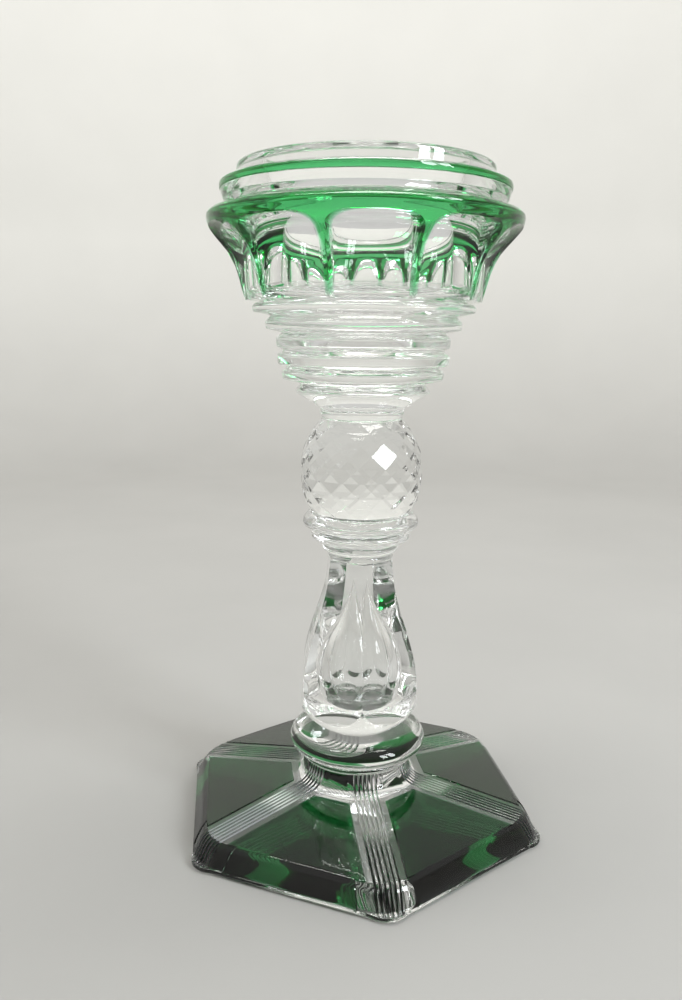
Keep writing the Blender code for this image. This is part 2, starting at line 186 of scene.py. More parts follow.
class GlassMesh:
    """Collects rows of points and turns them into one closed object."""

    def __init__(self, name: str, closed: bool = False) -> None:
        """Start an empty mesh.

        Args:
            name: the object's name.
            closed: whether the last row joins the first.
        """
        self.name = name
        self.closed = closed
        self.rows: list[Row] = []
        self.crease_columns: set[int] = set()
        self.first_faces: Face | list[Face] = Face.CUT
        self.bubbles: list[tuple[Point, float]] = []

    def add(self, points: list[Point], faces: Face | list[Face] = Face.CUT,
            crease: bool = False) -> None:
        """Add one row of points."""
        self.rows.append(Row(points, faces, crease))

    def add_outline(self, outline: Outline, count: int, start: float = 0.0,
                    faces: Face = Face.CUT) -> None:
        """Add a circle of points for each (radius, height) of an outline."""
        for radius, height in outline:
            self.add(circle(radius, height, count, start), faces)

    def _face_kind(self, faces: Face | list[Face], column: int) -> int:
        """Return the material slot of the face at a column."""
        kind = faces if isinstance(faces, Face) else faces[column]
        return kind.value

    def build(self) -> bpy.types.Object:
        """Make the object.

        Returns:
            The new object, linked to the scene, with outward faces.
        """
        mesh = bmesh.new()
        rows = [[mesh.verts.new([MM * c for c in p]) for p in row.points]
                for row in self.rows]
        spans = [(rows[i], rows[i + 1], self.rows[i + 1].faces)
                 for i in range(len(rows) - 1)]
        if self.closed:
            spans.append((rows[-1], rows[0], self.first_faces))
        for low, high, faces in spans:
            count = max(len(low), len(high))
            for i in range(count):
                j = (i + 1) % count
                if len(low) == 1:
                    corners = (low[0], high[j], high[i])
                elif len(high) == 1:
                    corners = (low[i], low[j], high[0])
                else:
                    corners = (low[i], low[j], high[j], high[i])
                face = mesh.faces.new(corners)
                face.material_index = self._face_kind(faces, i)
                face.smooth = True
        self._mark_creases(mesh, rows)
        return finish_object(self.name, mesh, self.bubbles)

    def _mark_creases(self, mesh: bmesh.types.BMesh,
                      rows: list[list[bmesh.types.BMVert]]) -> None:
        """Mark the hard edges along creased rows and columns."""
        for row, verts in zip(self.rows, rows):
            if row.crease and len(verts) > 1:
                for a, b in zip(verts, verts[1:] + verts[:1]):
                    edge = mesh.edges.get((a, b))
                    if edge:
                        edge.smooth = False
        for low, high in zip(rows, rows[1:]):
            for column in self.crease_columns:
                if len(low) > 1 and len(high) > 1:
                    edge = mesh.edges.get((low[column], high[column]))
                    if edge:
                        edge.smooth = False


def finish_object(name: str, mesh: bmesh.types.BMesh,
                  bubbles: Sequence[tuple[Point, float]] = ()
                  ) -> bpy.types.Object:
    """Clean a bmesh and make it an object.

    Args:
        name: the object's name.
        mesh: the mesh, which is freed.
        bubbles: centres and radii of tiny air bubbles inside the glass.

    Returns:
        The object with outward faces.
    """
    bmesh.ops.remove_doubles(mesh, verts=mesh.verts, dist=0.0000005)
    bmesh.ops.dissolve_degenerate(mesh, dist=0.0000005, edges=mesh.edges)
    bmesh.ops.recalc_face_normals(mesh, faces=mesh.faces)
    if mesh.calc_volume(signed=True) < 0.0:
        bmesh.ops.reverse_faces(mesh, faces=mesh.faces)
    for centre, radius in bubbles:
        place = Matrix.Translation([MM * c for c in centre])
        made = bmesh.ops.create_icosphere(mesh, subdivisions=2,
                                          radius=MM * radius, matrix=place)
        shell = {f for v in made["verts"] for f in v.link_faces}
        bmesh.ops.reverse_faces(mesh, faces=list(shell))
        for face in shell:
            face.smooth = True
    data = bpy.data.meshes.new(name)
    mesh.to_mesh(data)
    mesh.free()
    thing = bpy.data.objects.new(name, data)
    bpy.context.scene.collection.objects.link(thing)
    return thing


def settle(piece: bpy.types.Object, finish: "GlassFinish", *nodes: str) -> None:
    """Dress a piece and say which solid of the frame it stands for.

    Args:
        piece: the finished mesh.
        finish: the glass it is made of.
        nodes: the solids it replaces, which are hidden.
    """
    finish.dress(piece)
    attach(piece, "root")
    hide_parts(*nodes)
    LOG.info("%s: %d faces for %s", piece.name, len(piece.data.polygons),
             ", ".join(nodes))


# ----------------------------------------------------------------- finishes
class Nodes:
    """A small helper that adds nodes to one material."""

    def __init__(self, name: str) -> None:
        """Start a material whose tree holds only its output.

        Args:
            name: the name of the material.
        """
        self.material = bpy.data.materials.new(name)
        self.material.use_nodes = True
        self.tree = self.material.node_tree
        self.tree.nodes.clear()
        self.output = self.tree.nodes.new("ShaderNodeOutputMaterial")

    def add(self, kind: str, **values: object) -> bpy.types.Node:
        """Add a node and set its properties.

        Args:
            kind: the node type.
            values: properties to set on the node.

        Returns:
            The new node.
        """
        node = self.tree.nodes.new(kind)
        for key, value in values.items():
            setattr(node, key, value)
        return node

    def link(self, source: bpy.types.NodeSocket,
             target: bpy.types.NodeSocket) -> None:
        """Join two sockets."""
        self.tree.links.new(source, target)

    def noise(self, scale: float, detail: float, position: bpy.types.NodeSocket,
              distortion: float = 0.0) -> bpy.types.NodeSocket:
        """Add a noise texture and return its value.

        Args:
            scale: size of the pattern, larger is finer.
            detail: number of finer layers in the noise.
            position: where the pattern is read.
            distortion: how far the pattern is bent.

        Returns:
            The socket that carries the noise, from 0 to 1.
        """
        node = self.add("ShaderNodeTexNoise")
        node.inputs["Scale"].default_value = scale
        node.inputs["Detail"].default_value = detail
        node.inputs["Distortion"].default_value = distortion
        self.link(position, node.inputs["Vector"])
        return node.outputs["Fac"]

    def mapped(self, value: bpy.types.NodeSocket, low: float, high: float,
               out_low: float, out_high: float) -> bpy.types.NodeSocket:
        """Map a value from one range to another and return it.

        Args:
            value: the socket to map.
            low: start of the range it comes in.
            high: end of the range it comes in.
            out_low: what low becomes.
            out_high: what high becomes.

        Returns:
            The socket that carries the mapped value.
        """
        node = self.add("ShaderNodeMapRange")
        for index, number in enumerate((low, high, out_low, out_high), 1):
            node.inputs[index].default_value = number
        self.link(value, node.inputs[0])
        return node.outputs[0]

    def bump(self, height: bpy.types.NodeSocket, distance: float,
             normal: bpy.types.NodeSocket | None = None
             ) -> bpy.types.NodeSocket:
        """Add a bump and return its normal.

        Args:
            height: the socket that carries the height.
            distance: depth of the bump, metres.
            normal: an earlier normal to build on.

        Returns:
            The socket that carries the bent normal.
        """
        node = self.add("ShaderNodeBump")
        node.inputs["Strength"].default_value = 1.0
        node.inputs["Distance"].default_value = distance
        self.link(height, node.inputs["Height"])
        if normal is not None:
            self.link(normal, node.inputs["Normal"])
        return node.outputs["Normal"]


@dataclass(frozen=True)
class GlassFinish:
    """Polished glass: slight ripple, wheel marks and a trace of handling.

    Attributes:
        name: the material's name.
        tint: colour of the light that passes a surface.
        ior: refractive index.
        ripple: depth of the slow unevenness of the polish, metres.
        wheel_marks: depth of the fine marks left by the cutting wheel, metres.
        haze: greatest roughness.
        least_haze: least roughness.
        absorption: colour and density of the glass itself, or None.
    """

    name: str
    tint: tuple[float, float, float] = (0.985, 0.992, 0.988)
    ior: float = 1.54
    ripple: float = 0.000012
    wheel_marks: float = 0.0000008
    haze: float = 0.03
    least_haze: float = 0.0
    absorption: tuple[tuple[float, float, float], float] | None = None

    def material(self) -> bpy.types.Material:
        """Return the glass, made once and shared by the pieces that use it.

        Returns:
            The material of this finish.
        """
        known = bpy.data.materials.get(self.name)
        if known:
            return known
        nodes = Nodes(self.name)
        shader = nodes.add("ShaderNodeBsdfPrincipled")
        shader.inputs["Base Color"].default_value = (*self.tint, 1.0)
        shader.inputs["Metallic"].default_value = 0.0
        shader.inputs["IOR"].default_value = self.ior
        shader.inputs["Transmission Weight"].default_value = 1.0
        position = nodes.add("ShaderNodeTexCoord").outputs["Object"]
        smears = nodes.noise(70.0, 3.0, position, 0.6)
        nodes.link(nodes.mapped(smears, 0.45, 0.8, self.least_haze,
                                self.haze),
                   shader.inputs["Roughness"])
        ripple = nodes.bump(nodes.noise(120.0, 1.0, position), self.ripple)
        marks = nodes.noise(2400.0, 2.0, position)
        nodes.link(nodes.bump(marks, self.wheel_marks, ripple),
                   shader.inputs["Normal"])
        if self.absorption:
            self._add_body_colour(nodes, shader)
        nodes.link(shader.outputs["BSDF"], nodes.output.inputs["Surface"])
        return nodes.material

    def _add_body_colour(self, nodes: Nodes, shader: bpy.types.Node) -> None:
        """Colour the glass through its depth and open its joint faces.

        Args:
            nodes: the tree to add to.
            shader: the glass shader in that tree.
        """
        colour, density = self.absorption
        volume = nodes.add("ShaderNodeVolumeAbsorption")
        volume.inputs["Color"].default_value = (*colour, 1.0)
        volume.inputs["Density"].default_value = density
        nodes.link(volume.outputs["Volume"], nodes.output.inputs["Volume"])
        shown = nodes.add("ShaderNodeAttribute", attribute_name="shown")
        nodes.link(shown.outputs["Fac"], shader.inputs["Alpha"])

    def dress(self, piece: bpy.types.Object) -> None:
        """Give a piece its glass and its joint faces."""
        piece.data.materials.append(self.material())
        if self.absorption:
            shown = piece.data.attributes.new("shown", "FLOAT", "FACE")
            for polygon in piece.data.polygons:
                hidden = polygon.material_index == Face.JOINT.value
                shown.data[polygon.index].value = 0.0 if hidden else 1.0
                polygon.material_index = 0
        else:
            piece.data.materials.append(joint_face())
            kinds = {p.material_index for p in piece.data.polygons}
            if Face.GROUND.value in kinds:
                piece.data.materials.append(GROUND_CRYSTAL.material())


def joint_face() -> bpy.types.Material:
    """Return the see-through face inside a hot-joined seam.

    Returns:
        The shared joint material.
    """
    name = "fused_joint"
    known = bpy.data.materials.get(name)
    if known:
        return known
    nodes = Nodes(name)
    clear = nodes.add("ShaderNodeBsdfTransparent")
    nodes.link(clear.outputs["BSDF"], nodes.output.inputs["Surface"])
    return nodes.material


CRYSTAL = GlassFinish("clear_crystal")
CUT_CRYSTAL = GlassFinish("wheel_cut_crystal", ripple=0.000005,
                          wheel_marks=0.0000012, haze=0.05)
GROUND_CRYSTAL = GlassFinish("ground_grooves", wheel_marks=0.000006,
                             haze=0.5, least_haze=0.3)
FOOT_GREEN = GlassFinish("bottle_green_overlay", tint=(0.97, 1.0, 0.98),
                         ripple=0.000016, haze=0.05,
                         absorption=((0.0, 0.62, 0.26), 2100.0))
BOWL_GREEN = GlassFinish("emerald_overlay", tint=(0.97, 1.0, 0.98),
                         ripple=0.000010,
                         absorption=((0.0, 0.78, 0.34), 1900.0))


# --------------------------------------------------------------------- foot
@dataclass
class Foot:
    """Six-sided foot: clear body, grooved corner bands, green panels.

    The profile is (half width across the flats, height), from the table up.
    """

    sides: int = 6
    base: tuple[tuple[float, float], ...] = (
        (57.6, 0.0), (58.3, 0.7), (58.2, 1.9))
    bevel: tuple[tuple[float, float], ...] = (
        (58.1, 2.3), (56.7, 5.1), (55.2, 7.5), (53.6, 8.8))
    top_inner: tuple[float, float] = (23.5, 13.9)
    cove: tuple[tuple[float, float], ...] = (
        (22.8, 13.75), (21.2, 14.2), (19.5, 15.6), (18.35, 17.9),
        (17.9, 21.2))
    neck_top: float = 21.2
    skin: float = 1.3
    recess: float = 1.6
    seam: float = 0.03
    band_half: float = 6.05
    grooves: int = 6
    groove_pitch: float = 1.5
    groove_width: float = 0.8
    groove_depth: float = 0.5
    corner_bulge: float = 1.4
    base_bulge: float = 2.8
    band_margin: float = 6.45
    corner_margin: float = 9.5
    band_drop: float = 0.3

    def __post_init__(self) -> None:
        """Work out the slopes of a corner."""
        self.tan_half = math.tan(math.radians(180 / self.sides))
        self.to_corner = 1 / math.cos(math.radians(180 / self.sides))

    def cased_line(self) -> tuple[Outline, int]:
        """Return the outer line under the green, and its first top row.

        Returns:
            The line, and the index of its first row on the sloping top.
        """
        bevel = smooth_curve(list(self.bevel), 5)
        edge = self.bevel[-1]
        inner = self.top_inner
        top = [blend_points(edge, inner, share)
               for share in (0.012, 0.1, 0.3, 0.5, 0.7, 0.9, 1.0)]
        return bevel + top, len(bevel)

    def margins(self) -> list[float]:
        """Return how far from a corner line the green starts, row by row."""
        line, first_top = self.cased_line()
        return [self.corner_margin if k < first_top else self.band_margin
                for k in range(len(line))]

    def columns(self, margin: float) -> list[tuple[float, float]]:
        """Return (offset, depth) across one band and into the pockets.

        Depth 0 is the surface of the band, 1 the bottom of a groove and 2
        the bottom of the pocket that holds a green panel.

        Args:
            margin: clear width from the band's middle to the pocket.

        Returns:
            The columns, from one pocket over the band to the next.
        """
        result = [(-margin + 0.05, 2.0), (-margin + 0.3, 0.0),
                  (-self.band_half, 0.0)]
        for k in range(self.grooves):
            middle = (k - (self.grooves - 1) / 2) * self.groove_pitch
            half = self.groove_width / 2
            result += [(middle - half, 0.0), (middle, 1.0),
                       (middle + half, 0.0)]
        return result + [(self.band_half, 0.0), (margin - 0.3, 0.0),
                         (margin - 0.05, 2.0)]

    def row(self, line: tuple[float, float], groove: tuple[float, float],
            pocket: tuple[float, float], margin: float, bulge: float,
            roundness: float = 0.0) -> list[Point]:
        """Return one closed row of points round the foot.

        Args:
            line: half width and height of the surface.
            groove: the same at the bottom of a groove.
            pocket: the same at the bottom of a pocket.
            margin: where the green starts beside the band.
            bulge: how far the band rounds out over the corner.
            roundness: 0 keeps the six sides, 1 is a circle.

        Returns:
            The points, in order.
        """
        points: list[Point] = []
        for corner in range(self.sides):
            turn = math.radians(-90 + 360 / self.sides * corner)
            local: list[Point] = []
            for offset, depth in self.columns(margin):
                half_width, height = (line, groove, pocket)[int(depth)]
                reach = half_width * self.to_corner
                if abs(offset) <= self.band_half:
                    cut = self.band_half * self.tan_half
                    cut -= bulge * (1 - (offset / self.band_half) ** 2)
                else:
                    cut = abs(offset) * self.tan_half
                local.append((reach - cut, offset, height))
            middle = pocket[0] * self.tan_half / self.to_corner
            local.append((pocket[0] * self.to_corner
                          - middle * self.tan_half, middle, pocket[1]))
            for x, y, z in local:
                scale = 1 - roundness + roundness * line[0] / math.hypot(x, y)
                points.append((
                    scale * (x * math.cos(turn) - y * math.sin(turn)),
                    scale * (x * math.sin(turn) + y * math.cos(turn)), z))
        return points

    def panel_faces(self) -> list[Face]:
        """Return which columns of a row lie under a green panel.

        Returns:
            One face kind for each column of a row.
        """
        count = len(self.columns(self.band_margin)) + 1
        kinds = [Face.CUT] * count
        for column in (0, -3, -2, -1):
            kinds[column] = Face.JOINT
        return kinds * self.sides

    def groove_faces(self, panel: Face) -> list[Face]:
        """Return the kinds of a row whose grooves are left ground.

        Args:
            panel: what the faces beside the bands are.

        Returns:
            One kind for each column.
        """
        kinds = self.panel_faces()
        per_side = len(kinds) // self.sides
        for column, kind in enumerate(kinds):
            place = column % per_side - 3
            if kind is Face.JOINT:
                kinds[column] = panel
            elif 0 <= place < 3 * self.grooves and place % 3 < 2:
                kinds[column] = Face.GROUND
        return kinds

    def body(self) -> bpy.types.Object:
        """Build the clear foot.

        Returns:
            The finished mesh object.
        """
        mesh = GlassMesh("foot_crystal")
        mesh.add([(0.0, 0.0, 0.0)])
        for point in rounded([(30.0, 0.0), *self.base], 0.5, 3):
            mesh.add(self.row(point, point, point, self.corner_margin,
                              self.base_bulge))
        mesh.rows[-1].crease = True
        line, first_top = self.cased_line()
        margins = self.margins()
        outer = blend_points(line[first_top - 1], line[first_top - 2], 0.45)
        line.insert(first_top - 1, outer)
        margins.insert(first_top - 1, self.corner_margin)
        margins[first_top] = self.band_margin
        bands = inset(line, self.band_drop)
        grooves = inset(line, self.band_drop + self.groove_depth)
        pockets = inset(line, self.recess)
        pockets[0] = (pockets[0][0], self.base[-1][1])
        for band, groove, pocket, margin in zip(bands, grooves, pockets,
                                                margins):
            mesh.add(self.row(band, groove, pocket, margin,
                              self.corner_bulge),
                     self.groove_faces(Face.JOINT))
        cove = smooth_curve([bands[-1], *self.cove], 6)[2:]
        cove.insert(0, (bands[-1][0] - 0.05, bands[-1][1]))
        grooved = inset(cove, self.groove_depth)
        for k, (point, groove) in enumerate(zip(cove, grooved)):
            share = k / (len(cove) - 1)
            depth = 1.0 if share < 0.8 else (1 - share) / 0.2
            groove = blend_points(point, groove, depth)
            mesh.add(self.row(point, groove, point, self.band_margin,
                              self.corner_bulge, share),
                     self.groove_faces(Face.CUT if k else Face.JOINT))
        mesh.add([(0.0, 0.0, self.neck_top)], Face.JOINT)
        per_side = len(self.columns(self.band_margin)) + 1
        for side in range(self.sides):
            for k in range(per_side - 1):
                mesh.crease_columns.add(side * per_side + k)
        mesh.bubbles = self.seeds()
        return mesh.build()

    def seeds(self) -> list[tuple[Point, float]]:
        """Scatter a few tiny air bubbles through the thick of the foot.

        Returns:
            The centre and radius of each bubble.
        """
        dice = random.Random(11)
        found: list[tuple[Point, float]] = []
        while len(found) < 36:
            radius = 22 + 28 * dice.random()
            bearing = 360 * dice.random()
            height = 3.0 + 4.5 * dice.random()
            found.append((around(radius, bearing, height),
                          0.10 + 0.16 * dice.random()))
        return found

    def panel(self, index: int) -> bpy.types.Object:
        """Build one green panel, draped over the side and the top.

        Args:
            index: which side of the foot, counted from the front.

        Returns:
            The panel.
        """
        line, _ = self.cased_line()
        foot = (self.base[-1][0] - 0.03, self.base[-1][1] + 0.04)
        line.insert(0, foot)
        margins = [self.corner_margin, *self.margins()]
        inner = inset(line, self.recess - self.seam)
        turn = -90 + 360 / self.sides * (index + 0.5)
        mesh = GlassMesh(f"foot_panel_{index + 1}")
        across = 9
        last = len(line) - 1
        for k, ((a, z), (b, y), margin) in enumerate(
                zip(line, inner, margins)):
            if k == 0:
                y = self.base[-1][1] + self.seam
                b = a - self.recess + self.seam
            if k == last:
                a, z = blend_points((a, z), (b, y), 0.2)
            c, x = blend_points((a, z), (b, y),
                                self.band_drop / (self.recess - self.seam))
            top = a * self.tan_half - (margin + 0.12) * self.to_corner
            rim = c * self.tan_half - (margin - 0.27) * self.to_corner
            low = b * self.tan_half - (margin - 0.02) * self.to_corner
            loop = []
            for i in range(across + 1):
                side = 2 * i / across - 1
                crown = 0.12 * (1 - side ** 2)
                loop.append((a, side * top, z + crown))
            loop.append((c, rim, x))
            for i in range(across + 1):
                side = 1 - 2 * i / across
                loop.append((b, side * low, y))
            loop.append((c, -rim, x))
            mesh.add([self._turned(p, turn) for p in loop],
                     self._panel_kinds(across))
        piece = self._capped(mesh)
        return piece

    def _turned(self, point: Point, degrees: float) -> Point:
        """Turn a point about the vertical axis.

        Args:
            point: the point to turn.
            degrees: how far, anticlockwise from above.

        Returns:
            The turned point.
        """
        angle = math.radians(degrees)
        x, y, z = point
        return (x * math.cos(angle) - y * math.sin(angle),
                x * math.sin(angle) + y * math.cos(angle), z)

    def _panel_kinds(self, across: int) -> list[Face]:
        """Return the kind of each face round one row of a panel."""
        return ([Face.CUT] * (across + 1) + [Face.JOINT] * (across + 2)
                + [Face.CUT])

    def _capped(self, mesh: GlassMesh) -> bpy.types.Object:
        """Close the two ends of a panel with strips and build it.

        Args:
            mesh: the panel with its ends still open.

        Returns:
            The closed panel.
        """
        first = mesh.rows[0].points
        last = mesh.rows[-1].points
        half = len(first) // 2
        for points, place in ((first, 0), (last, len(mesh.rows) + 1)):
            middle = []
            for i in range(len(points)):
                other = points[len(points) - 2 - i]
                middle.append(tuple((a + b) / 2
                                    for a, b in zip(points[i], other)))
            mesh.rows.insert(place, Row(middle, Face.JOINT))
        mesh.rows[1].crease = True
        mesh.rows[-2].crease = True
        mesh.rows[1].faces = Face.JOINT
        mesh.crease_columns |= {0, half - 2, half - 1, half,
                                len(first) - 2, len(first) - 1}
        return mesh.build()

    def make(self) -> None:
        """Build and dress every piece of the foot."""
        settle(self.body(), CUT_CRYSTAL, "foot_crystal_body")
        for index in range(self.sides):
            settle(self.panel(index), FOOT_GREEN,
                   f"foot_green_panel_{index + 1}")


# --------------------------------------------------------------- stem rings
@dataclass(frozen=True)
class TurnedRing:
    """A solid ring of glass between two seams.

    Attributes:
        name: the piece's name.
        node: the solid it stands for.
        low: height and radius of the lower seam.
        high: height and radius of the upper seam.
        waist: the (radius, height) outline between them.
        round_off: radius of its corners.
    """

    name: str
    node: str
    low: tuple[float, float]
    high: tuple[float, float]
    waist: tuple[tuple[float, float], ...]
    round_off: float = 0.5
    segments: int = 144

    def make(self) -> None:
        """Build and dress the ring."""
        mesh = GlassMesh(self.name)
        low_z, low_r = self.low
        high_z, high_r = self.high
        mesh.add([(0.0, 0.0, low_z)])
        mesh.add(circle(low_r, low_z, self.segments), Face.JOINT)
        outline = rounded([(low_r, low_z), *self.waist, (high_r, high_z)],
                          self.round_off, 5)
        mesh.add_outline(outline[1:], self.segments)
        mesh.add([(0.0, 0.0, high_z)], Face.JOINT)
        settle(mesh.build(), CRYSTAL, self.node)


@dataclass
class StemRings:
    """The rings, collars and wafers along the stem."""

    def make(self) -> None:
        """Build and dress all the rings."""
        rings = [
            TurnedRing("neck_ring", "foot_neck_ring", (21.2, 17.9),
                       (23.6, 18.4),
                       ((19.8, 21.35), (20.4, 22.4), (19.9, 23.3)), 0.7),
            TurnedRing("merese_disc", "foot_merese_disc", (23.6, 18.4),
                       (32.4, 13.2),
                       ((21.5, 23.9), (24.0, 26.0), (24.0, 28.4),
                        (22.3, 30.8), (18.5, 32.1)), 2.4),
            TurnedRing("top_wafer", "stem_top_wafer", (93.2, 10.4),
                       (95.2, 10.9), ((11.3, 93.3), (11.5, 94.3),
                                      (11.1, 95.1)), 0.4),
            TurnedRing("small_collar", "small_collar_ring", (95.2, 10.9),
                       (98.3, 12.2), ((12.2, 95.4), (12.9, 96.8),
                                      (12.7, 98.0)), 0.8),
            TurnedRing("middle_collar", "middle_collar_ring", (98.3, 12.2),
                       (103.0, 15.4), ((14.0, 98.6), (16.8, 100.2),
                                       (16.8, 101.9), (16.0, 102.8)), 1.0),
            TurnedRing("wide_collar", "wide_collar_ring", (103.0, 15.4),
                       (109.6, 16.5), ((16.6, 103.2), (19.6, 104.8),
                                       (19.8, 106.8), (18.0, 109.2)), 1.2),
            TurnedRing("knop_neck", "knop_neck_wafer", (140.6, 13.4),
                       (144.2, 14.2), ((13.7, 142.3),), 1.2),
        ]
        for ring in rings:
            ring.make()


# ----------------------------------------------------------------- baluster
@dataclass
class Baluster:
    """Panel-cut baluster holding a tear of air.

    A round body is cut by flat panels; low down the panels run out in arcs.
    """

    panels: int = 6
    turn: float = -5.0
    low: float = 32.4
    high: float = 93.2
    low_contact: float = 13.2
    panel_foot: float = 46.0
    run_out: float = 0.12
    per_panel: int = 24

    def round_body(self) -> Outline:
        """Return the line of the uncut round body."""
        return smooth_curve([(13.2, self.low), (17.4, 35.4), (20.4, 39.2),
                             (22.0, 43.6), (22.5, 50.0), (21.4, 58.5),
                             (18.8, 67.2), (15.7, 76.0), (13.4, 84.0),
                             (12.3, self.high)], 10)

    def tear_line(self) -> Outline:
        """Return the line of the air tear, from its tip down."""
        return smooth_curve([(0.12, 85.2), (1.5, 79.2), (4.6, 71.6),
                             (9.4, 63.0), (11.8, 54.5), (11.0, 47.2),
                             (7.6, 41.8), (3.2, 39.7)], 8)

    def flat_at(self, height: float, swell: Outline) -> float:
        """Return how far the flat panel lies from the axis at one height.

        Args:
            height: height on the stem.
            swell: the round outline before cutting.

        Returns:
            The distance, from the axis to the middle of the flat.
        """
        ridge = value_at(swell, max(height, self.panel_foot)) - 0.15
        drop = max(self.panel_foot - height, 0.0)
        return (ridge * math.cos(math.radians(180 / self.panels))
                + self.run_out * drop)

    def crossing(self, off_middle: float, swell: Outline) -> float:
        """Return the height where a panel meets the round body.

        Args:
            off_middle: angle from the middle of the panel, radians.
            swell: the round outline before cutting.

        Returns:
            The height of the meeting point.
        """
        low, high = self.low, self.panel_foot
        for _ in range(40):
            mid = (low + high) / 2
            flat = self.flat_at(mid, swell) / math.cos(off_middle)
            if flat < value_at(swell, mid):
                high = mid
            else:
                low = mid
        return (low + high) / 2

    def make(self) -> None:
        """Build and dress the baluster."""
        swell = self.round_body()
        columns = self.panels * self.per_panel
        offs = [math.radians(360 / self.panels
                             * ((i % self.per_panel) / self.per_panel - 0.5))
                for i in range(columns)]
        meets = [self.crossing(off, swell) for off in offs]
        start = self.turn - 90
        bearings = [start + 360 * i / columns for i in range(columns)]
        mesh = GlassMesh("baluster")
        mesh.add([(0.0, 0.0, self.low)])
        rows_round, rows_flat = 16, 64
        for k in range(rows_round + 1):
            share = k / rows_round
            loop = []
            for bearing, meet in zip(bearings, meets):
                height = self.low + (meet - self.low) * share
                loop.append(around(value_at(swell, height), bearing, height))
            kind = Face.JOINT if k == 0 else Face.CUT
            mesh.add(loop, kind, crease=k == rows_round)
        for k in range(1, rows_flat + 1):
            share = k / rows_flat
            loop = []
            for bearing, meet, off in zip(bearings, meets, offs):
                height = meet + (self.high - meet) * share
                reach = self.flat_at(height, swell) / math.cos(off)
                loop.append(around(reach, bearing, height))
            mesh.add(loop)
        mesh.add([(0.0, 0.0, self.high)], Face.JOINT)
        mesh.crease_columns = {i * self.per_panel
                               for i in range(self.panels)}
        piece = mesh.build()
        self._add_tear(piece)
        settle(piece, CUT_CRYSTAL, "panel_cut_baluster")

    def _add_tear(self, piece: bpy.types.Object) -> None:
        """Add the inner surface of the air tear to the baluster.

        Args:
            piece: the baluster, which gains the hollow.
        """
        tear = GlassMesh("tear")
        tear.add([(0.0, 0.0, 86.0)])
        tear.add_outline(self.tear_line(), 96)
        tear.add([(0.0, 0.0, 39.5)])
        inner = tear.build()
        joined = bmesh.new()
        joined.from_mesh(inner.data)
        bmesh.ops.reverse_faces(joined, faces=joined.faces)
        joined.from_mesh(piece.data)
        joined.to_mesh(piece.data)
        joined.free()
        bpy.data.objects.remove(inner)


# --------------------------------------------------------------------- knop
@dataclass
class Knop:
    """Ball cut all over with three-cornered facets in staggered rows."""

    columns: int = 14

    def make(self) -> None:
        """Build and dress the knop."""
        rings = [(16.9, 109.6), (19.3, 113.2), (20.2, 117.4), (20.6, 121.8),
                 (20.5, 126.2), (19.8, 130.5), (18.2, 134.4), (16.2, 137.5),
                 (13.7, 140.6)]
        mesh = bmesh.new()
        rows = []
        for k, (radius, height) in enumerate(rings):
            shift = 180 / self.columns * (k % 2)
            rows.append([mesh.verts.new([MM * c for c in p]) for p in
                         circle(radius, height, self.columns, shift)])
        for k, (low, high) in enumerate(zip(rows, rows[1:])):
            for i in range(self.columns):
                j = (i + 1) % self.columns
                if k % 2 == 0:
                    mesh.faces.new((low[i], low[j], high[i]))
                    mesh.faces.new((low[j], high[j], high[i]))
                else:
                    mesh.faces.new((low[i], high[j], high[i]))
                    mesh.faces.new((low[i], low[j], high[j]))
        for row in (rows[0], rows[-1]):
            mesh.faces.new(row).material_index = Face.JOINT.value
        settle(finish_object("faceted_knop", mesh), CUT_CRYSTAL,
               "diamond_cut_knop")


